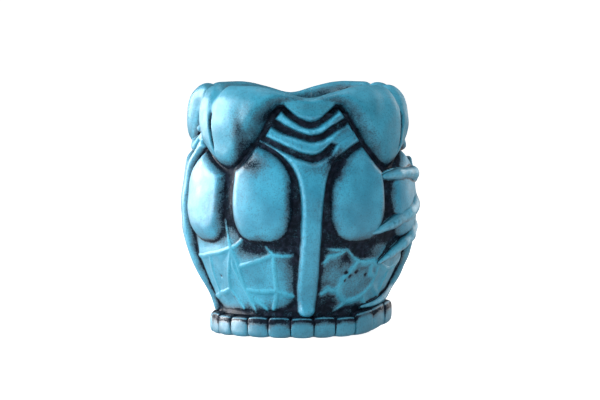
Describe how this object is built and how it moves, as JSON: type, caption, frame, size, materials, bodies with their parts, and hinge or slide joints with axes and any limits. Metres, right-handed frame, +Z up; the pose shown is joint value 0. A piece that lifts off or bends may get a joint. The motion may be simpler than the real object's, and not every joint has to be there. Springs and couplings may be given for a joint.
{
  "type": "tiki mug",
  "caption": "Pod-shaped glazed ceramic tiki mug with petals folded over the lip, oval pads between ridges, and root-like clay that clasps one side.",
  "frame": {"origin": "on the ground, under the middle of the cup", "axes": "+Z up along the cup's axis, the front of the mug faces -Y, +X is the side that the roots clasp"},
  "size_m": [0.1115, 0.1092, 0.1145],
  "materials": {
    "wall_glaze": "satin turquoise glaze with a dark wash in the recesses",
    "petal_glaze": "satin turquoise glaze",
    "pod_glaze": "satin turquoise glaze with dark edges",
    "web_glaze": "satin turquoise glaze",
    "root_glaze": "satin turquoise glaze",
    "coil_glaze": "satin turquoise glaze with glossy dark wash between segments"
  },
  "bodies": {
    "root": {"brow_high_back": "pod_glaze", "brow_high_front": "pod_glaze", "brow_high_left": "pod_glaze", "brow_high_right": "pod_glaze", "brow_low_back": "pod_glaze", "brow_low_front": "pod_glaze", "brow_low_left": "pod_glaze", "brow_low_right": "pod_glaze", "brow_middle_back": "pod_glaze", "brow_middle_front": "pod_glaze", "brow_middle_left": "pod_glaze", "brow_middle_right": "pod_glaze", "coil_back": "coil_glaze", "coil_front": "coil_glaze", "coil_left": "coil_glaze", "coil_right": "coil_glaze", "cup_wall": "wall_glaze", "lip": "petal_glaze", "pad_back_left": "pod_glaze", "pad_back_right": "pod_glaze", "pad_front_left": "pod_glaze", "pad_front_right": "pod_glaze", "pad_left_left": "pod_glaze", "pad_left_right": "pod_glaze", "pad_right_left": "pod_glaze", "pad_right_right": "pod_glaze", "petal_back_left": "petal_glaze", "petal_back_right": "petal_glaze", "petal_front_left": "petal_glaze", "petal_front_right": "petal_glaze", "ridge_back": "pod_glaze", "ridge_front": "pod_glaze", "ridge_left": "pod_glaze", "root_lower": "root_glaze", "root_middle": "root_glaze", "root_stem": "root_glaze", "root_upper": "root_glaze", "web_back_left": "web_glaze", "web_back_right": "web_glaze", "web_front_left": "web_glaze", "web_front_right": "web_glaze"}
  },
  "joints": []
}
